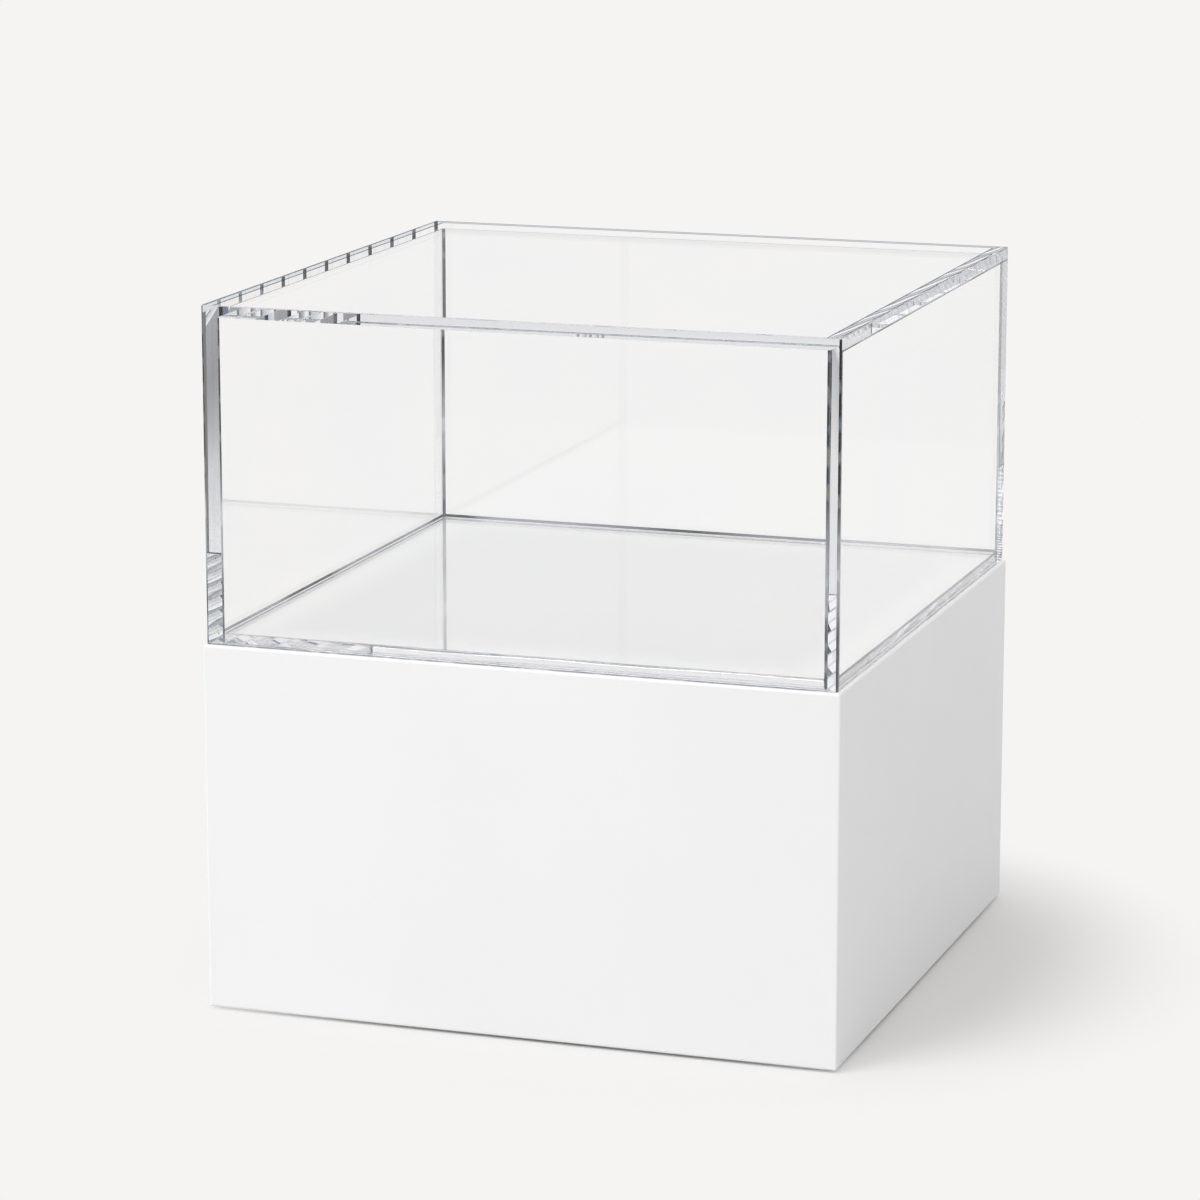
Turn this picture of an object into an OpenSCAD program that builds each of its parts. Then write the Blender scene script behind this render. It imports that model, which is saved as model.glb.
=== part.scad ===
// Pedestal display case: a white lacquered plinth with a clear box cover that lifts off it.
// Millimetres, +Z up. The origin is on the floor under the middle of the plinth, and the
// front faces -Y. The plinth is a mitred box of five boards on a hidden frame with four
// levelling feet. The cover is five clear sheets bonded edge to edge, and it stands on the
// plinth's top around a clear floor plate, which keeps it in place.

/* [Plinth] */
// Width of the plinth, from left to right
plinth_w = 500; // [300:10:1000]
// Depth of the plinth, from front to back
plinth_d = 500; // [300:10:1000]
// Height of the plinth's box, without the gap under it
plinth_h = 285; // [180:5:1200]
// Thickness of the plinth's boards
board_t = 18; // [15:1:25]
// Radius to which the plinth's outer edges are eased
plinth_edge_r = 2; // [1:0.5:4]
// Gap that the feet leave between the plinth and the floor
ground_gap = 2; // [1:0.5:6]

/* [Mitre tongues] */
// Thickness of a loose tongue
tongue_t = 4; // [3:0.5:5]
// Width of a loose tongue, half of it in each of its two boards
tongue_w = 12; // [8:1:13]
// Distance from the end of a tongue to the end of its mitre
tongue_stop = 40; // [35:5:60]
// Glue space round a tongue in its grooves
tongue_gap = 0.1; // [0.05:0.05:0.3]

/* [Clear cover] */
// Height of the cover
cover_h = 259; // [120:1:800]
// Thickness of the cover's clear sheets
sheet_t = 10; // [6:1:15]
// Distance from the plinth's edge in to the cover's outer face
cover_inset = 2.5; // [2:0.5:20]
// Thickness of the clear floor plate
floor_t = 8; // [4:1:12]
// Gap between the floor plate's edge and the cover's inner face
floor_gap = 0.75; // [0.5:0.25:2]
// Radius to which the clear sheets' edges are polished
polish_r = 0.75; // [0.5:0.25:1.5]

/* [Hidden frame] */
// Width of the square corner posts
post_w = 36; // [32:1:50]
// Thickness of the strips that the battens and rails are cut from
strip_t = 18; // [12:1:25]
// Width of the battens under the plinth's top
batten_w = 30; // [20:1:50]
// Height of the rails round the plinth's foot
rail_h = 45; // [30:1:70]
// Radius to which the long edges of the posts, battens and rails are eased
wood_edge_r = 1.5; // [0.5:0.5:3]

/* [Screws] */
// Radius of the wood screws' shanks
screw_r = 2; // [1.5:0.25:2.5]
// Radius of the wood screws' countersunk heads
screw_head_r = 4; // [3:0.25:5]
// Depth to which the wood screws reach into a board
screw_bite = 12; // [8:1:13]
// Distance from each end of a batten or rail to its nearer screw
screw_end = 60; // [20:5:65]
// Space round a screw in its hole
screw_gap = 0.1; // [0.05:0.05:0.3]

/* [Levelling feet] */
// Radius of a foot's pad
pad_r = 14; // [11:0.5:16]
// Height of a foot's pad
pad_h = 6; // [5:0.5:10]
// Radius of a foot's threaded stud
stud_r = 4; // [3:0.5:5]
// Length of the stud above its hexagon
stud_l = 32; // [26:1:45]
// Width across the flats of the stud's hexagon
hex_w = 13; // [10:0.5:17]
// Height of the stud's hexagon
hex_h = 4; // [3:0.5:6]
// Radius of the spigot on which the pad turns
spigot_r = 3; // [2:0.5:4]
// Length of the spigot inside the pad
spigot_l = 3.5; // [2:0.5:4]
// Radius of the bead round the spigot's middle, over which the pad snaps
bead_r = 0.5; // [0.3:0.1:0.6]
// Running clearance round the stud and round its spigot
stud_gap = 0.05; // [0.02:0.01:0.1]
// Radius of the threaded insert in the post
insert_r = 6.5; // [6:0.5:8]
// Depth of the insert in the post
insert_l = 14; // [10:1:18]
// Radius of the insert's flange
flange_r = 10; // [9:0.5:12]
// Thickness of the insert's flange
flange_t = 1.5; // [1:0.5:3]
// Clearance between the stud and the flats of the driver socket in the flange
socket_gap = 0.5; // [0.3:0.1:0.8]
// Height and depth of the chamfers at the ends of the stud and the insert
thread_chamfer = 0.8; // [0.4:0.1:0.9]

/* [Hidden] */
$fn = 48;

// Sides are quarter turns from the front. Corners are signs along X and Y.
SIDES = [0, 1, 2, 3];
FRONT = SIDES[0];
RIGHT = SIDES[1];
BACK = SIDES[2];
LEFT = SIDES[3];
ENDS = [-1, 1];

LACQUER = [0.95, 0.95, 0.95];
CLEAR = [0.85, 0.88, 0.93, 0.35];
TIMBER = "burlywood";
PLY = "tan";
STEEL = "silver";
NYLON = [0.2, 0.2, 0.21];

over = 1; // how far a cutting shape runs past what it cuts
plinth_z = ground_gap + plinth_h;
under_top = plinth_z - board_t;
mitre_mid = board_t / 2; // the middle of a mitre lies this deep under both outer faces

cover_w = plinth_w - 2 * cover_inset;
cover_d = plinth_d - 2 * cover_inset;
wall_h = cover_h - sheet_t;
floor_w = cover_w - 2 * (sheet_t + floor_gap);
floor_d = cover_d - 2 * (sheet_t + floor_gap);

hex_z = pad_h;
flange_z = hex_z + hex_h;
frame_z = flange_z + flange_t; // the underside of the posts and rails
screw_l = strip_t + screw_bite;
screw_head_h = screw_head_r - screw_r;
post_inset = board_t + post_w / 2;

// Width of a side of the plinth, and the plinth's depth behind it
function side_w(side) = side % 2 == 0 ? plinth_w : plinth_d;
function side_d(side) = side % 2 == 0 ? plinth_d : plinth_w;
// Length that the posts leave between them along a side
function bay(side) = side_w(side) - 2 * (board_t + post_w);

// Turns a shape made for the front round to another side
module at_side(side) {
    rotate([0, 0, 90 * side]) children();
}

// Draws an outline in the plane across X or Y, and carries it both ways from there
module along_x(length) {
    rotate([90, 0, 90]) linear_extrude(length, center = true) children();
}

module along_y(length) {
    rotate([90, 0, 0]) linear_extrude(length, center = true) children();
}

// A centred rectangle whose corners are quarter circles
module eased_outline(w, h, r) {
    difference() {
        square([w, h], center = true);
        for (side = SIDES) {
            across = side % 2 == 0 ? w : h;
            up = side % 2 == 0 ? h : w;
            rotate(90 * side) translate([across / 2 - r, up / 2 - r]) difference() {
                square(r + over);
                circle(r);
            }
        }
    }
}

// A block on the plane Z = 0 whose twelve edges are eased to one radius
module eased_block(w, d, h, r) {
    intersection() {
        translate([0, 0, -over]) linear_extrude(h + 2 * over) eased_outline(w, d, r);
        translate([0, 0, h / 2]) along_x(w + 2 * over) eased_outline(d, h, r);
        translate([0, 0, h / 2]) along_y(d + 2 * over) eased_outline(w, h, r);
    }
}

// ---- Plinth: five boards, mitred where they meet ----

module plinth_block() {
    translate([0, 0, ground_gap]) eased_block(plinth_w, plinth_d, plinth_h, plinth_edge_r);
}

// The space of the front board: its plan is mitred at both ends and its section at the top
module wall_space(w, d) {
    out = d / 2 + over;
    intersection() {
        linear_extrude(plinth_z + over) polygon([
            [-w / 2 - over, -out],
            [w / 2 + over, -out],
            [w / 2 - board_t, board_t - d / 2],
            [board_t - w / 2, board_t - d / 2]
        ]);
        along_x(w + 4 * over) polygon([
            [-out, 0],
            [-out, plinth_z + over],
            [board_t - d / 2, under_top],
            [board_t - d / 2, 0]
        ]);
    }
}

// The section of the top board across one pair of sides
module top_section(w) {
    polygon([
        [-w / 2 - over, plinth_z + over],
        [w / 2 + over, plinth_z + over],
        [w / 2 - board_t, under_top],
        [board_t - w / 2, under_top]
    ]);
}

module plinth_wall(side) {
    color(LACQUER) difference() {
        intersection() {
            plinth_block();
            at_side(side) wall_space(side_w(side), side_d(side));
        }
        for (x = ENDS, y = ENDS) side_tongue_shape(x, y, tongue_gap);
        top_tongue_shape(side, tongue_gap);
        rail_screw_places(side) screw_shape(screw_gap);
    }
}

module plinth_top() {
    color(LACQUER) difference() {
        intersection() {
            plinth_block();
            along_x(plinth_w + 4 * over) top_section(plinth_d);
            along_y(plinth_d + 4 * over) top_section(plinth_w);
        }
        for (side = SIDES) {
            top_tongue_shape(side, tongue_gap);
            batten_screw_places(side) screw_shape(screw_gap);
        }
    }
}

// ---- Loose tongues, square across the middle of each mitre ----

// A bar whose length lies along Z and whose width lies along Y
module tongue_bar(length, gap) {
    cube([tongue_t + 2 * gap, tongue_w + 2 * gap, length + 2 * gap], center = true);
}

module side_tongue_shape(x, y, gap = 0) {
    length = plinth_h - 2 * tongue_stop;
    translate([
        x * (plinth_w / 2 - mitre_mid),
        y * (plinth_d / 2 - mitre_mid),
        ground_gap + plinth_h / 2
    ])
        rotate([0, 0, 45 * x * y]) tongue_bar(length, gap);
}

module top_tongue_shape(side, gap = 0) {
    length = side_w(side) - 2 * tongue_stop;
    at_side(side) translate([0, mitre_mid - side_d(side) / 2, plinth_z - mitre_mid])
        rotate([45, 0, 0]) rotate([0, 90, 0]) tongue_bar(length, gap);
}

module side_tongue(x, y) {
    color(PLY) side_tongue_shape(x, y);
}

module top_tongue(side) {
    color(PLY) top_tongue_shape(side);
}

// ---- Clear cover: five sheets, the side walls between the front and back ones ----

module cover_block() {
    translate([0, 0, plinth_z]) eased_block(cover_w, cover_d, cover_h, polish_r);
}

module cover_top() {
    color(CLEAR) intersection() {
        cover_block();
        translate([0, 0, plinth_z + wall_h + sheet_t])
            cube([cover_w + over, cover_d + over, 2 * sheet_t], center = true);
    }
}

// The front or back sheet, with y as its sign
module cover_long_wall(y) {
    color(CLEAR) intersection() {
        cover_block();
        translate([0, y * cover_d / 2, plinth_z])
            cube([cover_w + over, 2 * sheet_t, 2 * wall_h], center = true);
    }
}

// The left or right sheet, with x as its sign
module cover_short_wall(x) {
    color(CLEAR) intersection() {
        cover_block();
        translate([x * cover_w / 2, 0, plinth_z])
            cube([2 * sheet_t, cover_d - 2 * sheet_t, 2 * wall_h], center = true);
    }
}

module floor_plate() {
    color(CLEAR) translate([0, 0, plinth_z]) eased_block(floor_w, floor_d, floor_t, polish_r);
}

// ---- Hidden frame: posts, battens and rails glued inside the boards ----

module corner_post(x, y) {
    color(TIMBER) difference() {
        at_foot(x, y) translate([0, 0, frame_z])
            linear_extrude(under_top - frame_z) eased_outline(post_w, post_w, wood_edge_r);
        at_foot(x, y) {
            translate([0, 0, frame_z - over]) cylinder(insert_l + over, r = insert_r + screw_gap);
            cylinder(flange_z + stud_l + over, r = stud_r + screw_gap);
        }
    }
}

// A length of timber against the inside of a board, with its middle at the height z
module timber(side, w, h, z) {
    at_side(side) translate([0, board_t + w / 2 - side_d(side) / 2, z])
        along_x(bay(side)) eased_outline(w, h, wood_edge_r);
}

module top_batten(side) {
    color(TIMBER) difference() {
        timber(side, batten_w, strip_t, under_top - strip_t / 2);
        batten_screw_places(side) screw_shape(screw_gap);
    }
}

module bottom_rail(side) {
    color(TIMBER) difference() {
        timber(side, strip_t, rail_h, frame_z + rail_h / 2);
        rail_screw_places(side) screw_shape(screw_gap);
    }
}

// ---- Wood screws: up through the battens, and outwards through the rails ----

// A countersunk screw whose head is at Z = 0, or its hole where there is a gap
module screw_shape(gap = 0) {
    head = gap > 0 ? -over : 0;
    rotate_extrude() polygon([
        [0, head],
        [screw_head_r + gap, head],
        [screw_head_r + gap, 0],
        [screw_r + gap, screw_head_h],
        [screw_r + gap, screw_l - 2 * screw_r],
        [0, screw_l + gap]
    ]);
}

// Distance from the middle of a side to each of its two screws
function screw_reach(side) = bay(side) / 2 - screw_end;

module batten_screw_places(side) {
    for (end = ENDS) at_side(side) translate([
        end * screw_reach(side),
        board_t + batten_w / 2 - side_d(side) / 2,
        under_top - strip_t
    ])
        children();
}

module rail_screw_places(side) {
    for (end = ENDS) at_side(side) translate([
        end * screw_reach(side),
        board_t + strip_t - side_d(side) / 2,
        frame_z + rail_h / 2
    ])
        rotate([90, 0, 0]) children();
}

module batten_screws() {
    color(STEEL) for (side = SIDES) batten_screw_places(side) screw_shape();
}

module rail_screws() {
    color(STEEL) for (side = SIDES) rail_screw_places(side) screw_shape();
}

// ---- Levelling feet: a stud in a threaded insert, turning in its pad ----

module at_foot(x, y) {
    translate([x * (plinth_w / 2 - post_inset), y * (plinth_d / 2 - post_inset), 0]) children();
}

// A rod standing on Z = 0, chamfered at its upper end
module chamfered_rod(h, r) {
    cylinder(h - thread_chamfer, r = r);
    translate([0, 0, h - thread_chamfer]) cylinder(thread_chamfer, r, r - thread_chamfer);
}

module insert_nuts() {
    color(STEEL) for (x = ENDS, y = ENDS) at_foot(x, y) difference() {
        translate([0, 0, flange_z]) {
            cylinder(flange_t, r = flange_r);
            chamfered_rod(flange_t + insert_l, insert_r);
        }
        cylinder(frame_z + insert_l + over, r = stud_r + stud_gap);
        translate([0, 0, flange_z - over])
            cylinder(over + flange_t, r = (stud_r + socket_gap) / cos(30), $fn = 6);
    }
}

// Half the outline of the stud's spigot and its bead, or of their place in the pad with a gap
module spigot_outline(gap = 0) {
    past_top = gap > 0 ? over : 0;
    translate([0, hex_z - spigot_l - gap]) square([spigot_r + gap, spigot_l + gap + past_top]);
    translate([spigot_r, hex_z - spigot_l / 2]) circle(bead_r + gap);
}

// The stud's hexagon, with its corners turned off at 30 degrees above and below
module stud_hexagon() {
    corner_r = hex_w / 2 / cos(30);
    cut = (corner_r - hex_w / 2) * tan(30);
    intersection() {
        cylinder(hex_h, r = corner_r, $fn = 6);
        rotate_extrude() polygon([
            [0, 0],
            [hex_w / 2, 0],
            [corner_r, cut],
            [corner_r, hex_h - cut],
            [hex_w / 2, hex_h],
            [0, hex_h]
        ]);
    }
}

module foot_stud(x, y) {
    color(STEEL) at_foot(x, y) {
        rotate_extrude() spigot_outline();
        translate([0, 0, hex_z]) stud_hexagon();
        translate([0, 0, flange_z]) chamfered_rod(stud_l, stud_r);
    }
}

module foot_pad(x, y) {
    rim = pad_h / 3;
    color(NYLON) at_foot(x, y) rotate_extrude() difference() {
        polygon([
            [0, 0],
            [pad_r - rim / 4, 0],
            [pad_r, rim / 4],
            [pad_r, rim],
            [hex_w / 2 + rim, pad_h],
            [0, pad_h]
        ]);
        spigot_outline(stud_gap);
    }
}

cover_top();
cover_long_wall(-1);  // cover_front
cover_short_wall(1);  // cover_right
cover_long_wall(1);  // cover_back
cover_short_wall(-1);  // cover_left
floor_plate();
plinth_top();
plinth_wall(FRONT);  // plinth_front
plinth_wall(RIGHT);  // plinth_right
plinth_wall(BACK);  // plinth_back
plinth_wall(LEFT);  // plinth_left
top_tongue(FRONT);  // top_tongue_front
top_tongue(RIGHT);  // top_tongue_right
top_tongue(BACK);  // top_tongue_back
top_tongue(LEFT);  // top_tongue_left
side_tongue(-1, -1);  // side_tongue_front_left
side_tongue(1, -1);  // side_tongue_front_right
side_tongue(-1, 1);  // side_tongue_back_left
side_tongue(1, 1);  // side_tongue_back_right
corner_post(-1, -1);  // corner_post_front_left
corner_post(1, -1);  // corner_post_front_right
corner_post(-1, 1);  // corner_post_back_left
corner_post(1, 1);  // corner_post_back_right
top_batten(FRONT);  // top_batten_front
top_batten(RIGHT);  // top_batten_right
top_batten(BACK);  // top_batten_back
top_batten(LEFT);  // top_batten_left
bottom_rail(FRONT);  // bottom_rail_front
bottom_rail(RIGHT);  // bottom_rail_right
bottom_rail(BACK);  // bottom_rail_back
bottom_rail(LEFT);  // bottom_rail_left
batten_screws();
rail_screws();
insert_nuts();
foot_stud(-1, -1);  // foot_stud_front_left
foot_stud(1, -1);  // foot_stud_front_right
foot_stud(-1, 1);  // foot_stud_back_left
foot_stud(1, 1);  // foot_stud_back_right
foot_pad(-1, -1);  // foot_pad_front_left
foot_pad(1, -1);  // foot_pad_front_right
foot_pad(-1, 1);  // foot_pad_back_left
foot_pad(1, 1);  // foot_pad_back_right
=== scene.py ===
"""Pedestal display case: the clear cover, threaded feet and screws, finishes and a plain studio."""

import math

import bpy
import numpy as np
from mathutils import Euler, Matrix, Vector


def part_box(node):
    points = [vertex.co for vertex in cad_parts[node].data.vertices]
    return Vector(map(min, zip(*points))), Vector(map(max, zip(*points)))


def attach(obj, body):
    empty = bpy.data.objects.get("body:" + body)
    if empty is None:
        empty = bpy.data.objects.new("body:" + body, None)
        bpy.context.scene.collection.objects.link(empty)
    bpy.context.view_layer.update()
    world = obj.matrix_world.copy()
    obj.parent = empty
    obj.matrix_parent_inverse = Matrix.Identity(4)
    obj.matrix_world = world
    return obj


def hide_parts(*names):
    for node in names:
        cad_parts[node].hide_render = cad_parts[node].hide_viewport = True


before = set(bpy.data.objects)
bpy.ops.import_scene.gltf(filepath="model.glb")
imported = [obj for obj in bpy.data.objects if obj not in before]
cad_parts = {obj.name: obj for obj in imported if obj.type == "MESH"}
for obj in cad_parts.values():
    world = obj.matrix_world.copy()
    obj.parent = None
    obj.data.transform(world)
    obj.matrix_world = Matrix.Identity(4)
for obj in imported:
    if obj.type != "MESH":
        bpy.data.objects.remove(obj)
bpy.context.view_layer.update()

MM = 0.001
TAU = 2 * math.pi
SIDES = ["front", "right", "back", "left"]
CORNERS = ["front_left", "front_right", "back_left", "back_right"]

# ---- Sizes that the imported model's boxes don't give ----

SHEET = 10 * MM           # thickness of the cover's sheets
ARRIS = 0.7 * MM          # radius of the clear pieces' polished edges
UPRIGHT = 1.6 * MM        # radius of the cover's upright outer edges
CEMENT = 2.0 * MM         # radius of the cement line up the inner corners
CEILING = 0.15 * MM       # radius of the cement line round the inside of the top
SHARP = 0.1 * MM          # radius left at the tip of a corner where two arrises meet
SEAT = 0.08 * MM          # air under the cover and under the floor plate
ROUND_STEPS = 4           # steps round each small radius
IOR = 1.49                # of acrylic
TOP_IOR = 1.03            # of the cover's level faces, so that the edges behind them stay dark

# Material slots of the clear pieces
FACE, EDGE, UPRIGHT_EDGE, SAWN, PALE_EDGE, LEVEL = range(6)

# Levelling foot, as heights over the floor and radii
SPIGOT_RADIUS = 3 * MM
SPIGOT_FOOT = 2.5 * MM
BEAD_HEIGHT = 4.25 * MM
BEAD = 0.5 * MM
HEX_FOOT, HEX_TOP = 6 * MM, 10 * MM
HEX_FLAT = 6.5 * MM       # half the width across the flats
STUD_RADIUS = 4 * MM
STUD_PITCH = 1.25 * MM
STUD_DEPTH = 0.7 * MM     # depth of the thread
STUD_CHAMFER = 0.8 * MM
EASE = 0.2 * MM           # eased rim of a turned end
THREAD_START = 1 * MM     # from the hexagon to the first groove
STUD_FACETS, BEAD_RINGS, CORNER_RINGS = 48, 9, 5
STUD_PITCH_RINGS = 8      # rings of points to a pitch

# Wood screw, with its head at 0 and its length along Z
SCREW_RADIUS = 2 * MM
HEAD_RADIUS = 4 * MM
SCREW_LENGTH = 30 * MM
TAPER = 4 * MM            # length of the point
SCREW_PITCH = 1.8 * MM
SCREW_DEPTH = 0.6 * MM
PLAIN_SHANK = 8 * MM      # unthreaded length under the head
RECESS_DEPTH = 1.6 * MM
RECESS_REACH = 2.3 * MM
RECESS_WIDTH = 0.55 * MM
SCREW_REACH = 136 * MM    # from the middle of a side to each of its screws
BATTEN_LINE, BATTEN_FOOT = 217 * MM, 251 * MM
RAIL_LINE, RAIL_MIDDLE = 214 * MM, 34 * MM
SCREW_FACETS, HEAD_RINGS = 32, 14
SCREW_PITCH_RINGS = 6     # rings of points to a pitch
HEAD_MIDDLE = 0.02        # the head's smallest ring, as a share of its radius
TIP = 0.05                # what is left of the radius at the tip

# Both: a thread's flanks rise this steeply and leave this share flat, and faces that meet at less
# than this many degrees are shaded as one curve
FLANK_RISE, FLAT_SHARE = 1.2, 0.1
SMOOTH_UNDER = 28


# ---- Mesh helpers ----

def new_piece(name, points, faces, normals=None):
    """A mesh object at the origin, made of an array of points and a list of faces."""
    mesh = bpy.data.meshes.new(name)
    mesh.from_pydata(points.tolist(), [], faces)
    mesh.polygons.foreach_set("use_smooth", np.ones(len(mesh.polygons), bool))
    if normals is not None:
        mesh.normals_split_custom_set_from_vertices(normals.tolist())
    mesh.update()
    piece = bpy.data.objects.new(name, mesh)
    bpy.context.scene.collection.objects.link(piece)
    return piece


def ring_faces(rings, points):
    """Quads between each ring of points and the next, with every ring closed on itself."""
    ring, point = np.meshgrid(np.arange(rings - 1), np.arange(points), indexing="ij")
    after = (point + 1) % points
    low, high = ring * points, (ring + 1) * points
    quads = np.stack([low + point, low + after, high + after, high + point], axis=-1)
    return quads.reshape(-1, 4)


def cap_faces(rings, points):
    """One flat face across the first ring and one across the last."""
    order = np.arange(points)
    return np.stack([order[::-1], order + (rings - 1) * points])


# ---- Clear pieces: a section with small arcs, carried round a square with rounded corners ----

def turn(centre, radius, start, end, outward=1):
    """An arc of the section: its points are the centre plus the radius times (cos, sin) of an angle
    that runs from start to end, and its normals are (cos, sin), turned inward on a hollow."""
    angle = np.radians(np.linspace(start, end, ROUND_STEPS + 1))
    direction = np.stack([np.cos(angle), np.sin(angle)], axis=1)
    return np.asarray(centre) + radius * direction, outward * direction


def carried_round(turns, corner):
    """Carries a section round a square.

    A section point is (half width, height). Its ring is four quarter circles whose radius is given
    by corner at that point, each about a centre that lies this radius inside the half width on both
    axes. At angle a the normal is (n cos a, n sin a, m), where (n, m) is the section's normal.
    """
    section = np.concatenate([points for points, _ in turns])
    tilt = np.concatenate([normals for _, normals in turns])
    half, height, radius = section[:, :1], section[:, 1:], corner(section[:, 0])[:, None]
    quarter = np.arange(4) * math.pi / 2
    sweep = np.linspace(0, math.pi / 2, ROUND_STEPS + 1)
    angle = (quarter[:, None] + sweep).reshape(1, -1)
    middle = np.repeat(quarter + math.pi / 4, ROUND_STEPS + 1)[None, :]
    x = np.sign(np.cos(middle)) * (half - radius) + radius * np.cos(angle)
    y = np.sign(np.sin(middle)) * (half - radius) + radius * np.sin(angle)
    flat = np.zeros_like(x)
    points = np.stack([x, y, height + flat], axis=-1)
    sideways, upward = tilt[:, :1], tilt[:, 1:]
    normals = np.stack([sideways * np.cos(angle), sideways * np.sin(angle), upward + flat], axis=-1)
    return points, normals


def finishes(rings, points, upright, pale, sawn):
    """The material of each quad. Between the arcs of the section it is a face or a sawn edge, but an
    upright edge in the corner columns of an upright stretch. An arc is a dark or a pale arris."""
    ring, point = np.meshgrid(np.arange(rings - 1), np.arange(points), indexing="ij")
    steps = ROUND_STEPS + 1
    arc, stretch = ring % steps < ROUND_STEPS, ring // steps
    in_corner = (point % steps < ROUND_STEPS) & np.isin(stretch, upright)
    between = np.where(np.isin(stretch, sawn), SAWN, np.where(in_corner, UPRIGHT_EDGE, FACE))
    return np.where(arc, np.where(np.isin(stretch, pale), PALE_EDGE, EDGE), between).ravel()


def clear_piece(name, turns, corner, materials, level, **stretches):
    """A closed clear solid, with its arrises, cement lines and level faces in their own materials."""
    points, normals = carried_round(turns, corner)
    rings, count = points.shape[:2]
    faces = ring_faces(rings, count).tolist() + cap_faces(rings, count).tolist()
    piece = new_piece(name, points.reshape(-1, 3), faces, normals.reshape(-1, 3))
    for mat in materials:
        piece.data.materials.append(mat)
    kinds = np.append(finishes(rings, count, **stretches), [level, level]).astype(np.int32)
    piece.data.polygons.foreach_set("material_index", kinds)
    return piece


def cover_shell(materials):
    """The five sheets as one clear shell, because light crosses their cemented joints unbent. The
    section runs down the inner face, round the foot and up the outer face to the top."""
    low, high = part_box("cover_front")[0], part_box("cover_top")[1]
    half, top = high[0], high[2]
    inner, ceiling, foot = half - SHEET, top - SHEET, low[2] + SEAT
    turns = [
        turn((inner - CEILING, ceiling - CEILING), CEILING, 90, 0, -1),
        turn((inner + ARRIS, foot + ARRIS), ARRIS, 180, 270),
        turn((half - ARRIS, foot + ARRIS), ARRIS, 270, 360),
        turn((half - ARRIS, top - ARRIS), ARRIS, 0, 90),
    ]

    def corner(width):
        outer = UPRIGHT - (half - width)
        hollow = CEMENT + SHARP + width - inner
        return np.where(width > half - SHEET / 2, outer, hollow)

    piece = clear_piece(
        "cover_shell", turns, corner, materials, LEVEL,
        upright=[0, 2], pale=[0, 1, 3], sawn=[1])
    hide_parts("cover_top", *("cover_" + side for side in SIDES))
    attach(piece, "cover")


def floor_sheet(materials):
    """The clear plate on the plinth. The section runs up its edge, with an arc above and below."""
    low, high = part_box("floor_plate")
    half, foot, top = high[0], low[2] + SEAT, high[2]
    turns = [
        turn((half - ARRIS, foot + ARRIS), ARRIS, 270, 360),
        turn((half - ARRIS, top - ARRIS), ARRIS, 0, 90),
    ]
    piece = clear_piece(
        "floor_sheet", turns, lambda width: ARRIS + SHARP - (half - width), materials, FACE,
        upright=[0], pale=[0, 1], sawn=[0])
    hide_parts("floor_plate")
    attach(piece, "plinth")


# ---- Turned pieces: radius and height on a grid of rings and angles ----

def rounds(count):
    """Angles of the points of a ring, as a row."""
    return (np.arange(count) * TAU / count)[None, :]


def thread(heights, angles, pitch, depth):
    """How far the surface of a right-handed thread lies under its crests: depth times a wave with
    straight flanks and narrow flats, of the height in pitches less the angle in turns."""
    wave = np.abs(2 * ((heights / pitch - angles / TAU) % 1) - 1)
    return depth * np.clip(FLANK_RISE * wave - FLAT_SHARE, 0, 1)


def faded(heights, low, high, run):
    """From 0 to 1 and back over a short run inside each end of a stretch of heights."""
    return np.clip(np.minimum(heights - low, high - heights) / run, 0, 1)


def rings_of(stretches, angles):
    """Points (r cos a, r sin a, z) of each stretch of (radius, height), broadcast over the angles."""
    grids = [np.broadcast_arrays(radius + 0 * angles, height + 0 * angles) for radius, height in stretches]
    radius = np.concatenate([grid[0] for grid in grids])
    height = np.concatenate([grid[1] for grid in grids])
    return np.stack([radius * np.cos(angles), radius * np.sin(angles), height], axis=-1)


def column(*values):
    """Values down a column, one for each ring."""
    return np.array(values, float)[:, None]


def turned_piece(name, points, places, mat):
    """Closed turned solids, alike, one at each (turning matrix, shift) of places."""
    rings, count = points.shape[:2]
    spins, shifts = (np.array(part, float) for part in zip(*places))
    copies = np.einsum("kij,nj->kni", spins, points.reshape(-1, 3)) + shifts[:, None]
    first = (np.arange(len(places)) * rings * count)[:, None, None]
    faces = (ring_faces(rings, count) + first).reshape(-1, 4).tolist()
    faces += (cap_faces(rings, count) + first).reshape(-1, count).tolist()
    piece = new_piece(name, copies.reshape(-1, 3), faces)
    piece.data.set_sharp_from_angle(angle=math.radians(SMOOTH_UNDER))
    dress(piece, mat)
    return piece


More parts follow.
